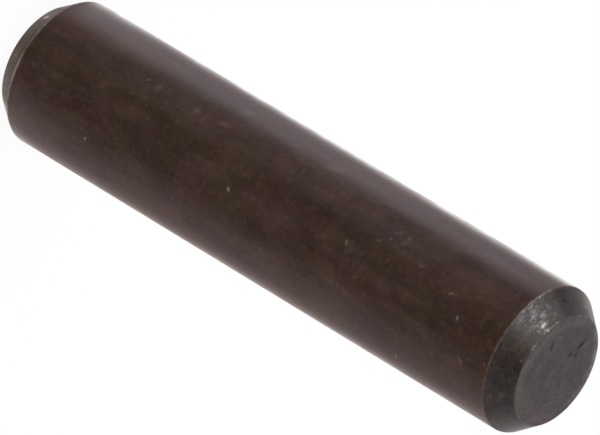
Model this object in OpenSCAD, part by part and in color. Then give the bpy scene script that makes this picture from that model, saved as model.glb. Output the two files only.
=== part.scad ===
// Dowel pin: one turned steel pin with a long chamfer on each end.
// It stands on its bottom end. The origin is the centre of that end's flat face,
// and +Z runs along the pin's axis.

/* [Body] */
// Diameter of the shank
pin_d = 8; // [6:0.5:20]
// Length over the two flat end faces
pin_len = 35; // [12:1:100]

/* [Top end] */
// Length of the top chamfer, along the axis
top_chamfer_len = 1.25; // [0.8:0.05:2]
// Angle of the top chamfer, from the axis
top_chamfer_angle = 38.5; // [20:0.5:45]

/* [Bottom end] */
// Length of the bottom chamfer, along the axis
bottom_chamfer_len = 1.2; // [0.8:0.05:2]
// Angle of the bottom chamfer, from the axis
bottom_chamfer_angle = 35; // [20:0.5:45]

/* [Edge breaks] */
// Radius of the break where a chamfer meets the shank
shoulder_r = 0.15; // [0.05:0.05:1]
// Radius of the break where a chamfer meets a flat end face
rim_r = 0.1; // [0.05:0.05:0.4]

/* [Hidden] */
$fn = 96;

pin_r = pin_d / 2;
// Conical bands that each round break is turned in
break_bands = 6;

// Points on a circle of radius r about a centre, between two angles
function arc(centre, r, first, last) = [
    for (i = [0:break_bands])
        let (a = first + (last - first) * i / break_bands)
            centre + r * [cos(a), sin(a)]
];

// One end as [radius, height] above its flat face: the round break at the rim,
// the chamfer, then the round break at the shoulder. Each arc's centre lies one
// radius inside both of the sides that the arc joins, so the sides run into it.
function end_section(chamfer_len, angle) =
    let (
        face_r = pin_r - chamfer_len * tan(angle),
        rim_reach = rim_r * tan(45 - angle / 2),
        shoulder_reach = shoulder_r * tan(angle / 2)
    )
    concat(
        arc([face_r - rim_reach, rim_r], rim_r, -90, -angle),
        arc([pin_r - shoulder_r, chamfer_len + shoulder_reach], shoulder_r, -angle, 0)
    );

// The same points for the other end, which runs down from the pin's length
function from_top(points) = [
    for (i = [len(points) - 1:-1:0]) [points[i].x, pin_len - points[i].y]
];

module dowel_pin() {
    bottom = end_section(bottom_chamfer_len, bottom_chamfer_angle);
    top = end_section(top_chamfer_len, top_chamfer_angle);
    color([0.22, 0.17, 0.15])
    rotate_extrude()
    polygon(concat([[0, 0]], bottom, from_top(top), [[0, pin_len]]));
}

dowel_pin();
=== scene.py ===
import math

import bpy
import numpy as np
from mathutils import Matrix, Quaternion, Vector


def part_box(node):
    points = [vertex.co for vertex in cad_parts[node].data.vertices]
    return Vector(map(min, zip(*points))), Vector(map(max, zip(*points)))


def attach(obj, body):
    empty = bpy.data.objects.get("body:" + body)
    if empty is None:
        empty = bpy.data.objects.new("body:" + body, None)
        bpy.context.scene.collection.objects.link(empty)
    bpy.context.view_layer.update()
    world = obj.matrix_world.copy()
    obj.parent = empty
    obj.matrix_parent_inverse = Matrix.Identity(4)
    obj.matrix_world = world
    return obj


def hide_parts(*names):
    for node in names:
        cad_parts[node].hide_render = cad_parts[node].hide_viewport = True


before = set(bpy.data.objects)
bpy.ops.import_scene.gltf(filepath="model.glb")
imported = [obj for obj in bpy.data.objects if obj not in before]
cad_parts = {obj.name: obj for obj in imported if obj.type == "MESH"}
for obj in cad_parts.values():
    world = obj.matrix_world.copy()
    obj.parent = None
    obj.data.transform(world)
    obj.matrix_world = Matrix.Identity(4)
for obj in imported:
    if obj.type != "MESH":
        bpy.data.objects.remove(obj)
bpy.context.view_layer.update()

mm = 0.001
foot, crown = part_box("dowel_pin")
shankRadius = crown.x
pinLength = crown.z - foot.z
print(f"frame: pin {2 * shankRadius / mm:.2f} mm across, {pinLength / mm:.2f} mm long")


# shape of the pin

# lengths in metres, angles in degrees from the pin's axis
pin = {
    "topChamfer": 1.25 * mm,
    "topAngle": 38.5,
    "bottomChamfer": 1.2 * mm,
    "bottomAngle": 35.0,
    "shoulderRound": 0.15 * mm,
    "rimRound": 0.1 * mm,
    "hub": 0.1 * mm,               # innermost ring round the middle of a face
    "columns": 360,                # columns of the surface round the axis
    "faceRings": 36,
    "chamferRings": 52,
    "chamferCrowd": 0.2,           # how far a chamfer's rings gather at its two ends, from 0 to 1
    "breakRings": 8,
    "shankRings": 56,
}
# the stretches of the half section from the bottom face to the top face, and the finish of each
stretchFinish = {
    "bottomFace": "face",
    "bottomRim": "face",
    "bottomChamfer": "bottomChamfer",
    "bottomShoulder": "shank",
    "shank": "shank",
    "topShoulder": "shank",
    "topChamfer": "topChamfer",
    "topRim": "face",
    "topFace": "face",
}


# Points on a circle: centre + radius * (cos a, sin a), for even steps of a between two angles in degrees.
def arc(centre, radius, first, last, steps):
    a = np.radians(np.linspace(first, last, steps + 1))
    return np.stack([centre[0] + radius * np.cos(a), centre[1] + radius * np.sin(a)], 1)


# Points on a straight line: a + t * (b - a). With crowd 0 the steps of t are even, and with crowd 1
# they are (1 - cos) / 2, close together at both ends, so that the shading stays flat up to an edge.
def straight(a, b, steps, crowd=1.0):
    even = np.linspace(0, 1, steps + 1)[:, None]
    t = even + crowd * ((1 - np.cos(math.pi * even)) / 2 - even)
    return np.array(a) + t * (np.array(b) - np.array(a))


# One end as (radius, height above its face): out along the face, round the rim, up the chamfer and
# round the shoulder. A round break is centred one radius inside both of the sides that it joins.
def endOutline(chamfer, angle):
    lean = math.radians(angle)
    faceRadius = shankRadius - chamfer * math.tan(lean)
    rimReach = pin["rimRound"] * math.tan(math.pi / 4 - lean / 2)
    shoulderReach = pin["shoulderRound"] * math.tan(lean / 2)
    rim = arc((faceRadius - rimReach, pin["rimRound"]), pin["rimRound"], -90, -angle, pin["breakRings"])
    shoulderCentre = (shankRadius - pin["shoulderRound"], chamfer + shoulderReach)
    shoulder = arc(shoulderCentre, pin["shoulderRound"], -angle, 0, pin["breakRings"])
    face = straight((pin["hub"], 0), rim[0], pin["faceRings"])
    cone = straight(rim[-1], shoulder[0], pin["chamferRings"], pin["chamferCrowd"])
    return [face, rim, cone, shoulder]


# The half section from the bottom face to the top face, and for each point the number of its stretch.
def pinOutline():
    bottom = endOutline(pin["bottomChamfer"], pin["bottomAngle"])
    top = endOutline(pin["topChamfer"], pin["topAngle"])
    top = [line[::-1] * (1, -1) + (0, pinLength) for line in reversed(top)]
    shank = straight(bottom[-1][-1], top[0][0], pin["shankRings"])
    lines = bottom + [shank] + top
    points = np.concatenate([line[:-1] for line in lines] + [lines[-1][-1:]])
    zone = np.repeat(np.arange(len(lines)), [len(line) - 1 for line in lines])
    return points, np.append(zone, zone[-1])


# What handling has done to the pin. A place is degrees round the axis from the side that faces the
# camera, and mm along the section from the middle of the top shoulder: above 0 on the top chamfer and
# the top face, below 0 on the shank and the bottom chamfer. Sizes are half sizes in the same.
wear = {
    "seed": 11,
    "edgeDepth": 0.012,            # mm that the worn edges dip at most
    "facetDepth": 0.02,            # mm that a nick dips
    # how much oxide an edge has lost: mm to either side and share, then where it has lost more or less:
    # degrees, half width, share
    "edges": {
        "bottomRim": [0.035, 0.15],
        "bottomShoulder": [0.055, 0.32, (-50, 16, 0.22), (-16, 8, 0.35), (0, 7, -0.2), (16, 9, 1.2),
                           (45, 14, 0.2), (150, 50, 0.2)],
        "topShoulder": [0.05, 0.15, (-42, 14, 0.35), (-28, 5, 0.35), (-19, 4, -0.1), (6, 12, 0.08),
                        (75, 20, -0.05), (150, 30, 0.25)],
        "topRim": [0.035, 0.17, (-32, 9, 0.27), (-130, 35, 0.16), (75, 25, 0.08), (-7, 4, 0.27),
                   (160, 25, 0.2)],
    },
    # how edges vary round the axis: slowest and fastest wave, lowest value, swing
    "shareWave": (3, 70, 0.55, 0.6),
    "widthWave": (2, 60, 0.7, 0.6),
    "depthWave": (3, 90, 0.0, 1.0),
    "rubbed": [                    # scuffed patches: place, sizes, strength
        (-30, 0.85, 11, 0.5, 1.0),
        (-28, 0.25, 7, 0.2, 1.0),
        (-46, 0.7, 7, 0.5, 0.3),
        (-100, 0.7, 12, 0.4, 0.3),
        (140, 0.8, 16, 0.5, 0.7),
    ],
    "facets": [                    # bright nicks
        (-29.6, 1.22, 3.2, 0.10, 1.0),
        (-27.0, 1.27, 1.2, 0.08, 0.6),
        (-28.7, 1.56, 1.5, 0.09, 1.0),
        (-26.6, 1.44, 0.9, 0.05, 0.6),
        (-21.8, 1.28, 1.1, 0.07, 0.5),
        (-24.8, 1.54, 1.3, 0.05, 0.5),
        (-34.6, 1.57, 4.0, 0.035, 0.45),
        (-41.8, 1.57, 1.8, 0.05, 0.6),
        (-42.0, 0.03, 1.2, 0.05, 0.8),
        (-24.0, 0.05, 1.0, 0.05, 0.6),
        (-29.5, 0.14, 1.6, 0.05, 0.45),
        (-9.0, 1.58, 1.2, 0.05, 0.6),
        (-5.6, 1.59, 1.0, 0.05, 0.6),
        (-92.0, 0.95, 4.0, 0.08, 0.2),
        (-104.0, 0.5, 7.0, 0.06, 0.25),
    ],
    "stains": [                    # tinted patches: place, sizes, strength, colour
        (-18.6, 0.2, 2.6, 0.16, 0.9, (0.11, 0.11, 0.14)),
        (-13.7, 0.3, 3.0, 0.2, 0.55, (0.085, 0.08, 0.08)),
        (-13.0, 0.75, 4.0, 0.25, 0.5, (0.05, 0.052, 0.05)),
        (18.5, 0.2, 0.9, 0.06, 0.6, (0.12, 0.085, 0.075)),
        (-22.4, 0.61, 1.1, 0.08, 0.7, (0.06, 0.125, 0.09)),
        (-21.7, 0.8, 1.4, 0.12, 0.7, (0.014, 0.026, 0.016)),
        (-32.4, 0.51, 3.0, 0.13, 0.85, (0.15, 0.105, 0.145)),
        (-27.3, 0.51, 2.4, 0.10, 0.8, (0.13, 0.095, 0.13)),
        (-35.0, 0.86, 3.0, 0.1, 0.6, (0.13, 0.08, 0.08)),
        (-30.8, 0.2, 1.2, 0.06, 0.8, (0.12, 0.12, 0.085)),
        (-27.8, 0.32, 1.2, 0.07, 0.8, (0.13, 0.125, 0.09)),
        (-24.4, 0.15, 1.0, 0.07, 0.7, (0.11, 0.11, 0.08)),
        (-33.5, 0.27, 1.3, 0.08, 0.7, (0.02, 0.02, 0.014)),
        (-26.4, 0.22, 0.8, 0.06, 0.6, (0.02, 0.024, 0.016)),
        (-37.0, 0.92, 3.6, 0.14, 0.6, (0.085, 0.055, 0.05)),
        (-44.5, 1.3, 3.4, 0.2, 0.6, (0.03, 0.036, 0.027)),
        (-31.0, 1.41, 6.5, 0.05, 0.9, (0.02, 0.011, 0.011)),
        (-110.0, 0.67, 5.0, 0.14, 0.4, (0.25, 0.24, 0.235)),
        (-100.6, 0.29, 4.0, 0.1, 0.3, (0.16, 0.13, 0.13)),
        (-91.4, 0.97, 4.0, 0.06, 0.35, (0.1, 0.09, 0.09)),
        (-50.0, 0.75, 5.0, 0.35, 0.5, (0.042, 0.042, 0.05)),
        (-61.7, 0.73, 1.8, 0.12, 1.0, (0.003, 0.006, 0.005)),
        (-4.0, 0.86, 5.0, 0.24, 0.85, (0.078, 0.052, 0.033)),
        (-3.0, 0.3, 6.0, 0.22, 0.6, (0.05, 0.046, 0.037)),
        (-1.0, 1.42, 7.0, 0.18, 0.9, (0.019, 0.011, 0.009)),
        (10.0, 1.3, 7.0, 0.2, 0.5, (0.03, 0.014, 0.012)),
        (36.0, 1.35, 16.0, 0.26, 0.65, (0.024, 0.017, 0.014)),
        (17.0, 1.43, 10.0, 0.2, 0.7, (0.017, 0.011, 0.009)),
        (76.0, 0.6, 24.0, 1.2, 0.4, (0.05, 0.034, 0.033)),
        # on the shank
        (79.0, -1.2, 6.0, 1.8, 0.45, (0.1, 0.092, 0.088)),
        (2.0, -1.8, 20.0, 2.4, 0.5, (0.054, 0.0225, 0.018)),
        (30.0, -8.5, 10.0, 2.5, 0.4, (0.07, 0.038, 0.03)),
        (-23.0, -8.75, 7.0, 1.7, 0.4, (0.08, 0.058, 0.05)),
        (-35.0, -3.9, 5.0, 2.2, 0.4, (0.012, 0.006, 0.005)),
        (28.0, -3.0, 9.0, 2.2, 0.3, (0.072, 0.051, 0.044)),
        (28.0, -20.7, 9.0, 5.0, 0.25, (0.02, 0.009, 0.005)),
        # on the top chamfer again, over the others
        (-42.0, 1.42, 3.0, 0.12, 0.6, (0.025, 0.022, 0.02)),
        (-60.0, 0.4, 6.0, 0.3, 0.5, (0.05, 0.047, 0.045)),
        (43.9, 0.92, 0.9, 0.05, 0.75, (0.16, 0.14, 0.125)),
        (8.9, 1.38, 0.8, 0.05, 0.8, (0.2, 0.17, 0.15)),
        # on the bottom chamfer, the last of them on its edge
        (-33.6, -33.27, 1.7, 0.2, 1.0, (0.68, 0.5, 0.47)),
        (-9.0, -32.9, 26.0, 0.2, 0.65, (0.036, 0.021, 0.014)),
        (17.0, -32.84, 7.0, 0.09, 0.8, (0.014, 0.01, 0.009)),
        (16.0, -32.56, 7.0, 0.05, 0.8, (0.3, 0.24, 0.22)),
        # on the top face, the first of them all round its border
        (0.0, 1.9, 400, 0.3, 0.75, (0.059, 0.0465, 0.0465)),
        (-142.0, 1.68, 36, 0.2, 0.85, (0.18, 0.166, 0.162)),
        (-8.0, 2.3, 14, 0.25, 0.5, (0.055, 0.033, 0.03)),
        (122.0, 1.88, 26, 0.22, 0.5, (0.056, 0.034, 0.029)),
        (40.0, 2.2, 22, 0.22, 0.4, (0.035, 0.03, 0.028)),
        (-110.0, 2.6, 30, 0.3, 0.35, (0.05, 0.033, 0.04)),
        (60.0, 3.4, 60, 0.7, 0.3, (0.05, 0.038, 0.038)),
    ],
}


# A wavy line that closes on itself: the sum of cosines of k times the angle with random phases and
# with weights that fall with k, scaled to run from the lowest value up by the swing.
def wavyRound(random, angle, wave):
    slowest, fastest, lowest, swing = wave
    k = np.arange(slowest, fastest)
    phase = random.uniform(0, 2 * math.pi, len(k))
    line = (np.cos(angle[:, None] * k + phase) / np.sqrt(k)).sum(1)
    line = (line - line.min()) / (line.max() - line.min())
    return lowest + swing * line


# How far each column is from a place round the axis, in degrees, the short way round.
def turnFrom(angle, place):
    return (np.degrees(angle) - place + 180) % 360 - 180


# A soft spot: exp of minus the squared distances round and along, each over its own half size.
def spot(angle, along, place):
    turn, middle, halfTurn, halfLength, strength = place[:5]
    across = turnFrom(angle, turn) / halfTurn
    return strength * np.exp(-across ** 2 - ((along[:, None] - middle) / halfLength) ** 2)


# Spots of one kind together, nowhere above 1.
def laySpots(angle, along, places):
    return np.clip(sum(spot(angle, along, place) for place in places), 0, 1)


# Wear of one edge: a gaussian across the edge, its width and share varied round the axis by wavy
# lines and raised or lowered at the listed places.
def edgeWear(random, angle, along, name, middle):
    width, share, *places = wear["edges"][name]
    share = share + sum(gain * np.exp(-(turnFrom(angle, turn) / half) ** 2) for turn, half, gain in places)
    share = np.clip(share, 0, 1) * wavyRound(random, angle, wear["shareWave"])
    width = width * wavyRound(random, angle, wear["widthWave"])
    return share * np.exp(-((along[:, None] - middle) / width) ** 2)


# Colours of the stains laid over each other, and how much of the surface they cover. Each colour counts
# by its stain's share of the cover up to there.
def layStains(angle, along):
    colour = np.zeros((len(along), len(angle), 3))
    cover = np.zeros((len(along), len(angle)))
    for place in wear["stains"]:
        here = spot(angle, along, place)
        cover = cover + here * (1 - cover)
        share = here / np.maximum(cover, 1e-6)  # never a division by 0
        colour = colour + (np.array(place[5]) - colour) * share[..., None]
    return np.dstack([colour, cover])


# The surface: every point of the half section carried round the axis, (radius sin, -radius cos, height),
# then pushed out along its normal. Angle 0 faces the camera's side. The last two points close the faces.
def pinVertices(points, angle, push):
    slope = np.gradient(points, axis=0)
    normal = np.stack([slope[:, 1], -slope[:, 0]], 1)
    normal /= np.linalg.norm(normal, axis=1)[:, None]
    radius = points[:, :1] + normal[:, :1] * push
    height = points[:, 1:] + normal[:, 1:] * push
    rings = np.stack([radius * np.sin(angle), -radius * np.cos(angle), height], 2)
    poles = np.array([[0, 0, points[0, 1]], [0, 0, points[-1, 1]]])
    return np.concatenate([rings.reshape(-1, 3), poles])


# Quads between neighbouring rings, then a fan of triangles round each pole. Point c of ring r has the
# number r * columns + c, and the two poles come last.
def pinFaces(rings, columns):
    here = np.arange(columns)
    there = (here + 1) % columns
    below = np.arange(rings - 1)[:, None] * columns
    above = below + columns
    quads = np.stack([below + here, below + there, above + there, above + here], 2).reshape(-1, 4)
    pole = np.full(columns, rings * columns)
    bottomFan = np.stack([pole, there, here], 1)
    topFan = np.stack([pole + 1, above[-1] + here, above[-1] + there], 1)
    return quads.tolist() + bottomFan.tolist() + topFan.tolist()


# Values of the grid that the finishes read, in vertex order, and for each pole the mean of its ring.
def addLayer(mesh, label, values):
    kind, field = ("FLOAT", "value") if values.shape[2] == 1 else ("FLOAT_COLOR", "color")
    values = np.concatenate([values.reshape(-1, values.shape[2]), values[[0, -1]].mean(1)])
    layer = mesh.attributes.new(label, kind, "POINT")
    layer.data.foreach_set(field, values.ravel().astype(np.float32))


# The pin, with dips where its edges are worn and nicked, a finish on each face, and layers of wear.
def makePin(finishes):
    random = np.random.default_rng(wear["seed"])
    points, zone = pinOutline()
    along = np.concatenate([[0], np.cumsum(np.hypot(*np.diff(points, axis=0).T))]) / mm
    middle = {name: along[zone == i].mean() for i, name in enumerate(stretchFinish)}
    columns = pin["columns"]
    angle = np.linspace(-math.pi, math.pi, columns, endpoint=False)

    edge = np.clip(sum(edgeWear(random, angle, along, name, middle[name]) for name in wear["edges"]), 0, 1)
    fromShoulder = along - middle["topShoulder"]
    rub = laySpots(angle, fromShoulder, wear["rubbed"])
    facet = laySpots(angle, fromShoulder, wear["facets"])
    edgeDip = wear["edgeDepth"] * edge * wavyRound(random, angle, wear["depthWave"])
    push = -(edgeDip + wear["facetDepth"] * facet) * mm

    mesh = bpy.data.meshes.new("dowelPin")
    mesh.from_pydata(pinVertices(points, angle, push), [], pinFaces(len(points), columns))
    mesh.polygons.foreach_set("use_smooth", np.ones(len(mesh.polygons), bool))
    order = list(finishes)
    finish = np.array([order.index(name) for name in stretchFinish.values()])[zone]
    slots = np.concatenate([np.repeat(finish[:-1], columns), np.full(2 * columns, order.index("face"))])
    mesh.polygons.foreach_set("material_index", slots.astype(np.int32))
    layers = {"along": np.repeat(along[:, None], columns, 1), "edge": edge, "rub": rub, "facet": facet}
    for label, values in layers.items():
        addLayer(mesh, label, values[..., None])
    addLayer(mesh, "stain", layStains(angle, fromShoulder))
    for material in finishes.values():
        mesh.materials.append(material)
    mesh.validate()
    body = bpy.data.objects.new("dowelPin", mesh)
    bpy.context.scene.collection.objects.link(body)
    print(f"pin surface: {len(points)} rings of {columns}, {2 * len(points) * columns} triangles")
    return body


# node helpers

# Links a socket to another node's output, or sets it to a value.
def setInput(tree, socket, value):
    if isinstance(value, bpy.types.NodeSocket):
        tree.links.new(value, socket)
    else:
        socket.default_value = value


# A node with its settings, and its inputs by name or number.
def newNode(tree, kind, inputs, **settings):
    node = tree.nodes.new(kind)
    for name, value in settings.items():
        setattr(node, name, value)
    for name, value in inputs.items():
        setInput(tree, node.inputs[name], value)
    return node


def maths(tree, operation, a, b=0.0, clamp=False):
    return newNode(tree, "ShaderNodeMath", {0: a, 1: b}, operation=operation, use_clamp=clamp).outputs[0]


def vectorMaths(tree, operation, a, b=(0.0, 0.0, 0.0)):
    node = newNode(tree, "ShaderNodeVectorMath", {0: a, 1: b}, operation=operation)
    return node.outputs["Value" if operation in ("LENGTH", "DISTANCE", "DOT_PRODUCT") else "Vector"]


def scaled(tree, vector, factor):
    node = newNode(tree, "ShaderNodeVectorMath", {0: vector, "Scale": factor}, operation="SCALE")
    return node.outputs["Vector"]


# A value that goes softly from toLow to toHigh while the given one goes from low to high.
def soften(tree, value, low, high, toLow=0.0, toHigh=1.0):
    inputs = {"Value": value, "From Min": low, "From Max": high, "To Min": toLow, "To Max": toHigh}
    return newNode(tree, "ShaderNodeMapRange", inputs, interpolation_type="SMOOTHSTEP").outputs["Result"]


def mixColour(tree, factor, a, b):
    node = newNode(tree, "ShaderNodeMix", {}, data_type="RGBA")
    sockets = {socket.identifier: socket for socket in node.inputs}
    for name, value in (("Factor_Float", factor), ("A_Color", a), ("B_Color", b)):
        setInput(tree, sockets[name], value)
    return {socket.identifier: socket for socket in node.outputs}["Result_Color"]


def noise(tree, vector, scale, detail, roughness=0.6):
    inputs = {"Vector": vector, "Scale": scale, "Detail": detail, "Roughness": roughness}
    return newNode(tree, "ShaderNodeTexNoise", inputs).outputs["Fac"]


def attribute(tree, name, output="Fac"):
    return newNode(tree, "ShaderNodeAttribute", {}, attribute_name=name).outputs[output]


def highest(tree, masks):
    top = masks[0]
    for mask in masks[1:]:
        top = maths(tree, "MAXIMUM", top, mask)
    return top


# A node group. An input that has a value is a number, one without is a vector, and outputs are numbers.
def newGroup(name, inputs, outputs):
    tree = bpy.data.node_groups.new(name, "ShaderNodeTree")
    for label, value in inputs.items():
        kind = "NodeSocketVector" if value is None else "NodeSocketFloat"
        socket = tree.interface.new_socket(label, in_out="INPUT", socket_type=kind)
        if value is not None:
            socket.default_value = value
    for label in outputs:
        tree.interface.new_socket(label, in_out="OUTPUT", socket_type="NodeSocketFloat")
    return tree, tree.nodes.new("NodeGroupInput").outputs, tree.nodes.new("NodeGroupOutput").inputs


def useGroup(tree, group, inputs):
    return newNode(tree, "ShaderNodeGroup", inputs, node_tree=group).outputs


# effects that the finishes share; Position is the place on the pin in mm

# Marks that run round the pin: noise read on (direction from the axis, place along the section), so
# that it changes slowly round the axis and fast along the section, and closes on itself.
def turningMarks():
    inputs = {"Position": None, "Along": 0.0, "Lines per mm": 12.0, "Arc": 2.0, "Detail": 3.0}
    tree, given, out = newGroup("Turning Marks", inputs, ["Lines"])
    flat = vectorMaths(tree, "MULTIPLY", given["Position"], (1.0, 1.0, 0.0))
    aside = scaled(tree, vectorMaths(tree, "NORMALIZE", flat), given["Arc"])
    height = maths(tree, "MULTIPLY", given["Along"], given["Lines per mm"])
    place = newNode(tree, "ShaderNodeCombineXYZ", {"Z": height}).outputs[0]
    lines = noise(tree, vectorMaths(tree, "ADD", aside, place), scale=1.0, detail=given["Detail"])
    setInput(tree, out["Lines"], lines)
    return tree


# Cloudy patches of the oxide, a drift of its tint, streaks drawn out along the pin, small light
# smudges and a fine grain.
def oxideClouds():
    inputs = {"Position": None, "Patches per mm": 0.45, "Streaks per mm": 1.1, "Smudges per mm": 3.5,
              "Grains per mm": 7.0}
    tree, given, out = newGroup("Oxide Clouds", inputs, ["Patches", "Tint", "Streaks", "Smudges", "Grain"])
    stretch = (1.0, 1.0, 0.22)     # draws a pattern out along the pin
    shift = (31.0, 17.0, 5.0)      # mm, takes a pattern away from the patches
    drawnOut = vectorMaths(tree, "MULTIPLY", given["Position"], stretch)
    shifted = vectorMaths(tree, "ADD", given["Position"], shift)
    patches = noise(tree, given["Position"], given["Patches per mm"], detail=4.0)
    tint = noise(tree, shifted, given["Patches per mm"], detail=3.0)
    streaks = noise(tree, drawnOut, given["Streaks per mm"], detail=3.0)
    smudges = noise(tree, shifted, given["Smudges per mm"], detail=2.0, roughness=0.5)
    setInput(tree, out["Patches"], soften(tree, patches, low=0.3, high=0.7))
    setInput(tree, out["Tint"], soften(tree, tint, low=0.38, high=0.62))
    setInput(tree, out["Streaks"], soften(tree, streaks, low=0.3, high=0.7))
    setInput(tree, out["Smudges"], soften(tree, smudges, low=0.5, high=0.75))
    setInput(tree, out["Grain"], noise(tree, given["Position"], given["Grains per mm"], detail=2.0))
    return tree


# Where the oxide is rubbed off an edge: the edge's own mask, broken up by a noise.
def wornEdge():
    inputs = {"Position": None, "Edge": 0.0, "Breaks per mm": 3.0, "Keep": 0.35}
    tree, given, out = newGroup("Worn Edge", inputs, ["Mask"])
    breaks = noise(tree, given["Position"], given["Breaks per mm"], detail=3.0)
    kept = soften(tree, breaks, low=0.35, high=0.62, toLow=given["Keep"])
    setInput(tree, out["Mask"], maths(tree, "MULTIPLY", given["Edge"], kept, clamp=True))
    return tree


# Pin-prick bright points at random places: cells of a Voronoi pattern, few of which have a dot.
def pinPricks():
    inputs = {"Position": None, "Cells per mm": 1.1, "Radius": 0.07, "Share": 0.1}
    tree, given, out = newGroup("Pin Pricks", inputs, ["Mask"])
    pattern = {"Vector": given["Position"], "Scale": given["Cells per mm"]}
    cells = newNode(tree, "ShaderNodeTexVoronoi", pattern).outputs
    chosen = newNode(tree, "ShaderNodeSeparateColor", {"Color": cells["Color"]}).outputs
    picked = maths(tree, "LESS_THAN", chosen["Red"], given["Share"])
    dot = soften(tree, cells["Distance"], low=given["Radius"], high=0.0)
    brightness = maths(tree, "MULTIPLY", picked, chosen["Green"])
    setInput(tree, out["Mask"], maths(tree, "MULTIPLY", dot, brightness))
    return tree


# One scratch: highest on the straight line from Start to End, 0 at Radius from it, and tapered as
# 4 t (1 - t) with the share t of the line's length.
def scratchMark():
    inputs = {"Position": None, "Start": None, "End": None, "Radius": 0.05}
    tree, given, out = newGroup("Scratch", inputs, ["Mask"])
    whole = vectorMaths(tree, "SUBTRACT", given["End"], given["Start"])
    part = vectorMaths(tree, "SUBTRACT", given["Position"], given["Start"])
    share = maths(tree, "DIVIDE", vectorMaths(tree, "DOT_PRODUCT", part, whole),
                  vectorMaths(tree, "DOT_PRODUCT", whole, whole), clamp=True)
    gap = vectorMaths(tree, "DISTANCE", part, scaled(tree, whole, share))
    rest = maths(tree, "SUBTRACT", 1.0, share)
    taper = maths(tree, "MULTIPLY", maths(tree, "MULTIPLY", share, rest), 4.0)
    line = soften(tree, gap, low=given["Radius"], high=0.0)
    setInput(tree, out["Mask"], maths(tree, "MULTIPLY", line, taper))
    return tree


marks = turningMarks()
clouds = oxideClouds()
worn = wornEdge()
pricks = pinPricks()
scratch = scratchMark()


# finishes: colours are linear, depths and scratches in mm

bareSteel = (0.42, 0.385, 0.365)

# what all four finishes share
everyLook = {
    "ior": 1.5,
    "metalFrom": 0.3,              # share of bare steel from which a spot begins to look like metal
    "prickSteel": 0.35,            # bare steel in a bright point
    "dentColour": (0.004, 0.003, 0.003),
    "scuffSteel": 0.7,             # bare steel in the dashes of a scuff
    "scuffKeep": 0.25,             # what the breaks leave of a scuff
    "scuffBreaksPerMm": 2.2,
    "dashesPerMm": 8.0,
    "dashArc": 15.0,               # the higher, the shorter the dashes are round the pin
    "dashDetail": 1.5,
    "dashSpan": (0.4, 0.7),        # values of the noise between which a dash comes up,
    "lineSpan": (0.3, 0.7),        # a turning mark
    "grainSpan": (0.25, 0.75),     # and a grain
    "swellDetail": 1.0,
}

shankLook = {
    "name": "shankOxide",
    "bare": (0.45, 0.366, 0.33),   # steel with a little oxide left on it, warmer than on the ends
    "dark": (0.0465, 0.0262, 0.0155),
    "light": (0.0510, 0.0245, 0.0190),
    "cloudiness": 0.12,            # how much the patches lighten and darken
    "streaks": 0.16,
    "grain": 0.12,
    "haze": 0.03,                  # bare steel in the small light smudges
    "linesPerMm": 9.0,
    "arc": 3.0,
    "lineTint": 0.06,
    "roughness": 0.24,
    "roughnessSwing": 0.05,
    "lineDepth": 0.0003,
    "grainDepth": 0.0016,
    "patchesPerMm": 0.5,
    "swell": 0.024,                # depth of the slow waves in the surface
    "swellsPerMm": 0.3,
    "pricks": 0.2,                 # share of the cells with a bright point
    # degrees and mm of height where each starts and ends, radius, strength
    "scratches": [
        (8.3, 15.7, 11.5, 15.9, 0.13, 0.44),
        (-3.2, 23.24, 1.2, 23.44, 0.14, 0.19),
        (32.4, 6.64, 35.2, 6.52, 0.13, 0.31),
        (2.0, 30.94, 6.8, 31.05, 0.1, 0.31),
        (-9.6, 30.13, -6.6, 29.8, 0.12, 0.16),
        (57.5, 28.03, 62.5, 27.82, 0.12, 0.25),
        (-30.6, 18.66, -29.0, 18.79, 0.13, 0.09),
        (-30.0, 8.27, -27.6, 8.03, 0.11, 0.14),
        (27.6, 31.86, 33.2, 32.23, 0.12, 0.14),
        (23.4, 33.4, 23.0, 33.55, 0.11, 0.13),
        (-30.0, 8.7, -26.0, 9.15, 0.4, 0.08),
        (-16.3, 9.84, -14.7, 9.98, 0.14, 0.08),
        (-30.0, 11.3, -24.3, 11.8, 0.35, 0.07),
        (-28.2, 12.8, -31.0, 13.9, 0.25, 0.07),
        (-47.5, 13.2, -53.0, 14.05, 0.4, 0.09),
        (-43.8, 19.2, -49.5, 20.4, 0.45, 0.09),
        (-24.4, 21.1, -22.8, 21.02, 0.17, 0.09),
        (-15.4, 24.75, -12.4, 24.85, 0.25, 0.09),
        (-20.9, 25.24, -18.8, 25.32, 0.1, 0.19),
        (-28.3, 25.93, -26.2, 26.21, 0.16, 0.12),
        (-28.4, 25.3, -25.6, 25.5, 0.4, 0.07),
        (-24.0, 25.9, -20.0, 26.2, 0.5, 0.06),
        (-15.3, 27.58, -12.7, 27.7, 0.2, 0.09),
        (167.0, 12.18, 171.5, 12.27, 0.1, 0.6),
        (139.5, 26.3, 141.5, 26.7, 0.1, 0.5),
        (-121.0, 9.6, -117.0, 9.64, 0.1, 0.5),
    ],
}
chamferLook = {
    "name": "topChamferOxide",
    "bare": bareSteel,
    "dark": (0.0275, 0.0248, 0.0205),
    "light": (0.0375, 0.0285, 0.0250),
    "cloudiness": 0.2,
    "streaks": 0.1,
    "grain": 0.24,
    "haze": 0.03,
    "linesPerMm": 10.0,
    "arc": 3.0,
    "lineTint": 0.18,
    "roughness": 0.3,
    "roughnessSwing": 0.08,
    "lineDepth": 0.0006,
    "grainDepth": 0.0008,
    "patchesPerMm": 0.8,
    "swell": 0.004,
    "swellsPerMm": 1.3,
    "pricks": 0.06,
}
bottomLook = dict(
    shankLook,
    name="bottomChamferOxide",
    dark=(0.071, 0.042, 0.029),
    light=(0.082, 0.049, 0.037),
    cloudiness=0.3,
    patchesPerMm=0.9,
    swell=0.003,
    swellsPerMm=1.0,
    scratches=[],
)
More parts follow.
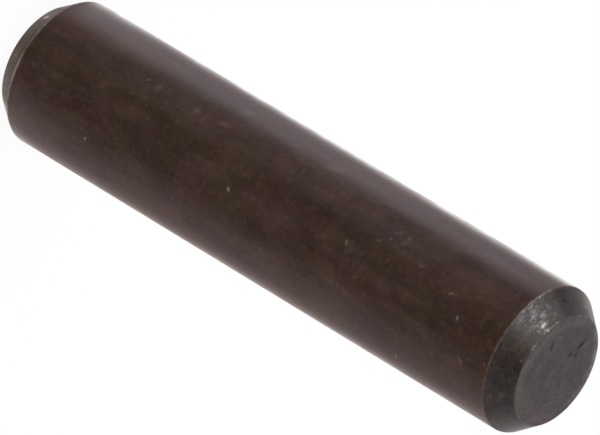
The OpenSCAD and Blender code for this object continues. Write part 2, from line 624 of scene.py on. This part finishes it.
faceLook = {
    "name": "faceOxide",
    "bare": bareSteel,
    "dark": (0.0265, 0.0215, 0.0195),
    "light": (0.0410, 0.0235, 0.0265),
    "cloudiness": 0.5,
    "streaks": 0.1,
    "grain": 0.35,
    "haze": 0.04,
    "linesPerMm": 4.0,
    "arc": 1.2,
    "lineTint": 0.12,
    "roughness": 0.38,
    "roughnessSwing": 0.06,
    "lineDepth": 0.0005,
    "grainDepth": 0.001,
    "patchesPerMm": 1.1,
    "swell": 0.006,
    "swellsPerMm": 0.7,
    "pricks": 0.04,
    # dark dents in the top face: x and y in mm where each starts and ends, radius, strength
    "dents": [
        (-2.1, 0.84, -1.36, 0.58, 0.17, 0.5),
        (-1.75, 0.72, -1.4, 0.57, 0.1, 0.4),
        (-1.15, 0.42, -0.9, 0.19, 0.2, 0.5),
        (-1.2, 0.9, -1.02, 0.64, 0.18, 0.35),
        (-1.2, -1.8, -0.65, -1.4, 0.18, 0.3),
        (0.55, -0.9, 0.75, -0.7, 0.09, 0.25),
        (0.9, 1.1, 1.15, 1.2, 0.08, 0.25),
    ],
}


# A point on the pin's side in mm: the half section's radius at a height, turned about the axis.
def onSide(degrees, height):
    outline = pinOutline()[0] / mm
    radius = np.interp(height, outline[:, 1], outline[:, 0])
    turn = math.radians(degrees)
    return radius * math.sin(turn), -radius * math.cos(turn), height


# A scratch or a dent between two points in mm, at its strength.
def lineMark(tree, position, start, end, radius, strength):
    line = useGroup(tree, scratch, {"Position": position, "Start": start, "End": end, "Radius": radius})
    return maths(tree, "MULTIPLY", line["Mask"], strength)


# The oxide's colour: its tint under the stains, lightened and darkened by each pattern in turn.
def oxideColour(tree, look, cloud, lines):
    tint = mixColour(tree, cloud["Tint"], (*look["dark"], 1), (*look["light"], 1))
    stained = mixColour(tree, attribute(tree, "stain", "Alpha"), tint, attribute(tree, "stain", "Color"))
    shade = 1.0
    for pattern, span, swing in (
        (cloud["Patches"], (0.0, 1.0), look["cloudiness"]),
        (cloud["Streaks"], (0.0, 1.0), look["streaks"]),
        (lines, everyLook["lineSpan"], look["lineTint"]),
        (cloud["Grain"], everyLook["grainSpan"], look["grain"]),
    ):
        shade = maths(tree, "MULTIPLY", shade, soften(tree, pattern, *span, 1 - swing, 1 + swing))
    return scaled(tree, stained, shade)


# How much bare steel shows: the most that an edge, a scuff, a nick, a smudge, a bright point or a
# scratch shows of it. A scuff is a rubbed patch broken up into short dashes round the pin.
def steelShare(tree, look, position, along, cloud):
    edge = useGroup(tree, worn, {"Position": position, "Edge": attribute(tree, "edge")})["Mask"]
    prick = useGroup(tree, pricks, {"Position": position, "Share": look["pricks"]})["Mask"]
    rubbed = useGroup(tree, worn, {"Position": position, "Edge": attribute(tree, "rub"),
                                   "Breaks per mm": everyLook["scuffBreaksPerMm"],
                                   "Keep": everyLook["scuffKeep"]})["Mask"]
    dashes = useGroup(tree, marks, {"Position": position, "Along": along,
                                    "Lines per mm": everyLook["dashesPerMm"], "Arc": everyLook["dashArc"],
                                    "Detail": everyLook["dashDetail"]})["Lines"]
    dashes = soften(tree, dashes, *everyLook["dashSpan"], toHigh=everyLook["scuffSteel"])
    masks = [
        edge,
        attribute(tree, "facet"),
        maths(tree, "MULTIPLY", prick, everyLook["prickSteel"]),
        maths(tree, "MULTIPLY", cloud["Smudges"], look["haze"]),
        maths(tree, "MULTIPLY", rubbed, dashes),
    ]
    for turn1, height1, turn2, height2, radius, strength in look.get("scratches", []):
        start, end = onSide(turn1, height1), onSide(turn2, height2)
        masks.append(lineMark(tree, position, start, end, radius, strength))
    return highest(tree, masks)


# Dark oxide over steel. The steel shows through where edges, scuffs, nicks and scratches have lost it.
def oxideFinish(look):
    material = bpy.data.materials.new(look["name"])
    material.use_nodes = True
    tree = material.node_tree
    shader = tree.nodes["Principled BSDF"]
    position = scaled(tree, newNode(tree, "ShaderNodeTexCoord", {}).outputs["Object"], 1 / mm)
    along = attribute(tree, "along")
    cloud = useGroup(tree, clouds, {"Position": position, "Patches per mm": look["patchesPerMm"]})
    lines = useGroup(tree, marks, {"Position": position, "Along": along, "Lines per mm": look["linesPerMm"],
                                   "Arc": look["arc"]})["Lines"]

    oxide = oxideColour(tree, look, cloud, lines)
    swing = look["roughnessSwing"]
    rough = soften(tree, cloud["Patches"], 0.0, 1.0, look["roughness"] - swing, look["roughness"] + swing)
    top = pinLength / mm
    for x1, y1, x2, y2, radius, strength in look.get("dents", []):
        dent = lineMark(tree, position, (x1, y1, top), (x2, y2, top), radius, strength)
        oxide = mixColour(tree, dent, oxide, (*everyLook["dentColour"], 1))
        rough = maths(tree, "ADD", rough, dent, clamp=True)
    steel = steelShare(tree, look, position, along, cloud)

    waves = noise(tree, position, look["swellsPerMm"], everyLook["swellDetail"], roughness=0.5)
    height = 0.0
    for pattern, depth in (
        (lines, look["lineDepth"]),
        (cloud["Grain"], look["grainDepth"]),
        (waves, look["swell"]),
    ):
        height = maths(tree, "ADD", height, maths(tree, "MULTIPLY", pattern, depth))
    bump = newNode(tree, "ShaderNodeBump", {"Height": height, "Distance": mm, "Strength": 1.0})

    setInput(tree, shader.inputs["Base Color"], mixColour(tree, steel, oxide, (*look["bare"], 1)))
    setInput(tree, shader.inputs["Metallic"], soften(tree, steel, everyLook["metalFrom"], 1.0))
    setInput(tree, shader.inputs["Roughness"], rough)
    setInput(tree, shader.inputs["Normal"], bump.outputs["Normal"])
    shader.inputs["IOR"].default_value = everyLook["ior"]
    return material


finishes = {
    "shank": oxideFinish(shankLook),
    "topChamfer": oxideFinish(chamferLook),
    "bottomChamfer": oxideFinish(bottomLook),
    "face": oxideFinish(faceLook),
}
print("finishes:", ", ".join(material.name for material in finishes.values()))

body = makePin(finishes)
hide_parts("dowel_pin")
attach(body, "root")


# studio

# Rings say how bright the surroundings look in the oxide: a stop is the angle round the pin from the
# camera's side in degrees, the brightness there, and how red and how blue it is next to its green.
studio = {
    # rings on the floor, from the pin's foot outwards
    "footRing": [
        (-180, 1.0, 1.03, 1.0), (-112, 1.9, 1.05, 1.0), (-90, 0.75, 1.1, 1.0), (-80, 0.48, 1.13, 1.0),
        (-73, 0.42, 1.15, 1.0), (-65, 0.4, 1.15, 0.98), (-57, 0.25, 1.13, 0.98), (-49, 0.37, 1.1, 0.98),
        (-42, 0.4, 1.08, 1.0), (-28, 0.34, 1.08, 0.98), (-12, 0.26, 1.08, 0.98), (0, 0.17, 1.08, 0.96),
        (12, 0.25, 1.08, 0.98), (28, 0.37, 1.08, 0.98), (42, 0.37, 1.1, 0.96), (49, 0.3, 1.1, 0.95),
        (57, 0.4, 1.1, 0.94), (65, 0.8, 1.08, 0.95), (73, 1.0, 1.06, 0.97), (180, 1.0, 1.03, 1.0),
    ],
    "nearRing": [
        (-180, 1.4, 1.03, 1.0), (-150, 2.1, 1.03, 1.0), (-140, 1.75, 1.05, 1.02), (-134, 1.2, 1.07, 1.04),
        (-128, 1.05, 1.1, 1.08), (-122, 0.78, 1.11, 1.1), (-105, 1.05, 1.11, 1.1), (-94, 1.05, 1.1, 1.1),
        (-79, 0.2, 1.1, 1.12), (-52, 0.1, 1.1, 1.1), (-31, 0.05, 1.1, 1.1), (-9, 0.0, 1.0, 1.0),
        (46, 0.08, 1.1, 1.1), (67, 0.42, 1.12, 1.08), (89, 0.62, 1.15, 1.06), (116, 0.56, 1.17, 1.03),
        (140, 0.6, 1.2, 0.97), (160, 0.9, 1.14, 0.96), (180, 0.6, 1.1, 0.97),
    ],
    "tableRing": [
        (-180, 0.9, 1.03, 1.0), (-168, 1.35, 1.03, 1.0), (-157, 1.85, 1.04, 1.0), (-144, 1.04, 1.09, 1.02),
        (-134, 0.55, 1.11, 1.08), (-119, 0.68, 1.11, 1.1), (-105, 1.02, 1.11, 1.1), (-94, 1.08, 1.1, 1.1),
        (-79, 0.33, 1.1, 1.12), (-66, 0.22, 1.1, 1.1), (-52, 0.26, 1.1, 1.1), (-31, 0.14, 1.1, 1.1),
        (-17, 0.0, 1.1, 1.1), (2, 0.09, 1.1, 1.0), (22, 0.07, 1.1, 1.0), (42, 0.02, 1.1, 1.1),
        (67, 0.26, 1.12, 1.08), (89, 0.41, 1.15, 1.06), (116, 0.4, 1.17, 1.03), (140, 0.48, 1.22, 0.97),
        (160, 0.78, 1.14, 0.96), (180, 0.5, 1.1, 0.97),
    ],
    "farRing": [
        (-180, 0.48, 1.03, 1.0), (-172, 0.5, 1.03, 1.0), (-166, 0.56, 1.04, 1.0), (-160, 0.68, 1.06, 1.02),
        (-154, 0.6, 1.1, 1.02), (-148, 0.56, 1.14, 1.04), (-141, 0.52, 1.12, 1.02), (-130, 0.46, 1.1, 1.05),
        (-90, 0.46, 1.1, 1.05), (-65, 0.2, 1.1, 1.1), (-31, 0.06, 1.1, 1.1), (-18, 0.0, 1.1, 1.1),
        (50, 0.0, 1.1, 1.1), (75, 0.2, 1.12, 1.08), (95, 0.5, 1.15, 1.06), (116, 0.62, 1.17, 1.03),
        (130, 0.55, 1.15, 1.02), (148, 0.5, 1.14, 1.06), (165, 0.52, 1.1, 1.0), (180, 0.6, 1.05, 1.0),
    ],
    # distances from the pin between which each takes over from the ring before
    "nearFrom": (5.0 * mm, 6.2 * mm),
    "tableFrom": (6.0 * mm, 13.0 * mm),
    "farFrom": (57 * mm, 67 * mm),
    # centre of the near ring and the table ring, moved so that their bands stay level down to the foot
    "ringCentre": (0, -3 * mm, 0),
    "skyRing": [
        (-180, 0.72, 1.0, 1.0), (-148, 0.44, 1.06, 1.0), (-134, 0.58, 1.07, 1.02), (-126, 0.46, 1.05, 1.02),
        (-112, 0.1, 1.0, 1.0), (-98, 0.8, 1.0, 1.0), (-84, 1.5, 1.0, 1.0), (-32, 1.72, 1.0, 1.0),
        (-26, 1.42, 1.0, 1.0), (-13, 0.62, 1.05, 0.98), (-2, 0.3, 1.03, 0.98), (6, 0.1, 1.0, 1.0),
        (40, 0.07, 1.05, 1.0), (62, 0.12, 1.05, 1.0), (90, 0.24, 1.05, 1.0), (108, 0.38, 1.08, 1.0),
        (120, 0.47, 1.1, 1.0), (148, 0.52, 1.08, 1.0), (180, 0.72, 1.0, 1.0),
    ],
    "skyLight": 1.0,               # what lights matt surfaces from above
    "floorLight": 0.85,            # and from below
    "floorSize": 3.0,              # metres
    "floorColour": 0.1,            # lit by the lamp and the sky, so it holds the pin's shadow
    "floorGlow": 0.92,             # what makes the floor white to the camera
    "softbox": {"turn": -60, "rise": 48, "distance": 0.7, "width": 0.4, "height": 0.4, "brightness": 1.0},
}


# The angle round the pin's axis from the camera's side, from 0 at one side of the back to 1 at the other.
def turnFromFront():
    tree, given, out = newGroup("Turn From Front", {"Vector": None}, ["Turn"])
    parts = newNode(tree, "ShaderNodeSeparateXYZ", {0: given["Vector"]}).outputs
    turn = maths(tree, "ARCTAN2", parts["X"], maths(tree, "MULTIPLY", parts["Y"], -1.0))
    setInput(tree, out["Turn"], maths(tree, "ADD", maths(tree, "DIVIDE", turn, 2 * math.pi), 0.5))
    return tree


# The colour that a ring has in a direction: its stops on a colour ramp over the turn from the front.
def brightnessRing(tree, vector, ring):
    turn = useGroup(tree, turnGroup, {"Vector": vector})["Turn"]
    ramp = newNode(tree, "ShaderNodeValToRGB", {"Fac": turn})
    stops = ramp.color_ramp.elements
    for degrees, brightness, red, blue in ring[1:-1]:
        stops.new(degrees / 360 + 0.5)
    for stop, (degrees, brightness, red, blue) in zip(stops, ring):
        stop.position = degrees / 360 + 0.5
        stop.color = (brightness * red, brightness, brightness * blue, 1)
    return ramp.outputs["Color"]


# 1 for a ray that comes off a glossy surface or through a clear one.
def mirroredRay(tree, path):
    return maths(tree, "MAXIMUM", path["Is Glossy Ray"], path["Is Transmission Ray"])


# The floor's rings from the foot outwards, each taking over from the one before with distance.
def ringsOnFloor(tree):
    position = newNode(tree, "ShaderNodeTexCoord", {}).outputs["Object"]
    away = vectorMaths(tree, "LENGTH", position)
    fromCentre = vectorMaths(tree, "SUBTRACT", position, studio["ringCentre"])
    colour = brightnessRing(tree, position, studio["footRing"])
    for place, ring, start in (
        (fromCentre, "nearRing", "nearFrom"),
        (fromCentre, "tableRing", "tableFrom"),
        (position, "farRing", "farFrom"),
    ):
        further = brightnessRing(tree, place, studio[ring])
        colour = mixColour(tree, soften(tree, away, *studio[start]), colour, further)
    return colour


# White to the camera with the pin's soft shadow kept, an even light to matt surfaces, and the rings to
# what mirrors it.
def makeFloor():
    half = studio["floorSize"] / 2
    corners = [(-half, -half, 0), (half, -half, 0), (half, half, 0), (-half, half, 0)]
    mesh = bpy.data.meshes.new("floor")
    mesh.from_pydata(corners, [], [(0, 1, 2, 3)])
    material = bpy.data.materials.new("paleFloor")
    material.use_nodes = True
    tree = material.node_tree
    tree.nodes.clear()
    path = newNode(tree, "ShaderNodeLightPath", {}).outputs
    pale = studio["floorColour"]
    matt = newNode(tree, "ShaderNodeBsdfDiffuse", {"Color": (pale, pale, pale, 1)}).outputs[0]
    glow = newNode(tree, "ShaderNodeEmission", {"Strength": studio["floorGlow"]}).outputs[0]
    white = newNode(tree, "ShaderNodeAddShader", {0: matt, 1: glow}).outputs[0]
    light = newNode(tree, "ShaderNodeEmission", {"Strength": studio["floorLight"]}).outputs[0]
    seen = newNode(tree, "ShaderNodeMixShader", {0: path["Is Camera Ray"], 1: light, 2: white}).outputs[0]
    rings = newNode(tree, "ShaderNodeEmission", {"Color": ringsOnFloor(tree)}).outputs[0]
    both = newNode(tree, "ShaderNodeMixShader", {0: mirroredRay(tree, path), 1: seen, 2: rings}).outputs[0]
    newNode(tree, "ShaderNodeOutputMaterial", {"Surface": both})
    mesh.materials.append(material)
    floor = bpy.data.objects.new("floor", mesh)
    bpy.context.scene.collection.objects.link(floor)


# White to the camera, an even light to matt surfaces, and a ring of its own to what mirrors it.
def makeSky():
    world = bpy.data.worlds.new("studio")
    bpy.context.scene.world = world
    world.use_nodes = True
    tree = world.node_tree
    tree.nodes.clear()
    path = newNode(tree, "ShaderNodeLightPath", {}).outputs
    direction = newNode(tree, "ShaderNodeTexCoord", {}).outputs["Generated"]
    plain = newNode(tree, "ShaderNodeBackground", {"Strength": studio["skyLight"]}).outputs[0]
    ring = brightnessRing(tree, direction, studio["skyRing"])
    ring = newNode(tree, "ShaderNodeBackground", {"Color": ring}).outputs[0]
    white = newNode(tree, "ShaderNodeBackground", {"Color": (1, 1, 1, 1)}).outputs[0]
    lit = newNode(tree, "ShaderNodeMixShader", {0: mirroredRay(tree, path), 1: plain, 2: ring}).outputs[0]
    seen = newNode(tree, "ShaderNodeMixShader", {0: path["Is Camera Ray"], 1: lit, 2: white}).outputs[0]
    newNode(tree, "ShaderNodeOutputWorld", {"Surface": seen})


# A point seen from another: distance away, turned from the camera's side and raised, in degrees.
def around(centre, turn, rise, distance):
    turn, rise = math.radians(turn), math.radians(rise)
    way = Vector((math.sin(turn) * math.cos(rise), -math.cos(turn) * math.cos(rise), math.sin(rise)))
    return Vector(centre) + distance * way


# A lamp that faces the middle of the top face. Its power is brightness * pi * area, so 1 looks white.
def makeSoftbox(box):
    centre = Vector((0, 0, pinLength))
    lamp = bpy.data.lights.new("softbox", "AREA")
    lamp.shape = "RECTANGLE"
    lamp.size, lamp.size_y = box["width"], box["height"]
    lamp.energy = box["brightness"] * math.pi * box["width"] * box["height"]
    softbox = bpy.data.objects.new("softbox", lamp)
    softbox.location = around(centre, box["turn"], box["rise"], box["distance"])
    softbox.rotation_euler = (softbox.location - centre).to_track_quat("Z", "Y").to_euler()
    softbox.visible_camera = False
    softbox.visible_glossy = False  # the sky ring already holds its reflection
    bpy.context.scene.collection.objects.link(softbox)


turnGroup = turnFromFront()
makeFloor()
makeSky()
makeSoftbox(studio["softbox"])
print("studio: floor, sky and softbox")


# camera

view = {
    "aim": (0.06 * mm, 0, 17.76 * mm),
    "distance": 524.33 * mm,
    "rise": 32.18,                 # degrees above the floor
    "roll": 121.08,                # degrees, so that the pin lies across the picture
    "lens": 633.67,                # mm
    "sensor": 36,                  # mm
    "reach": 10,                   # metres, where the camera stops seeing
}


# The camera looks at its aim from the front and above, then rolls about its line of sight.
def makeCamera():
    data = bpy.data.cameras.new("camera")
    data.sensor_width = view["sensor"]
    data.lens = view["lens"]
    data.clip_end = view["reach"]
    camera = bpy.data.objects.new("camera", data)
    camera.location = around(view["aim"], 0, view["rise"], view["distance"])
    level = (Vector(view["aim"]) - camera.location).to_track_quat("-Z", "Y")
    camera.rotation_mode = "QUATERNION"
    camera.rotation_quaternion = level @ Quaternion((0, 0, 1), math.radians(view["roll"]))
    bpy.context.scene.collection.objects.link(camera)
    bpy.context.scene.camera = camera


makeCamera()
bpy.context.scene.view_settings.view_transform = "Standard"
print("camera set")
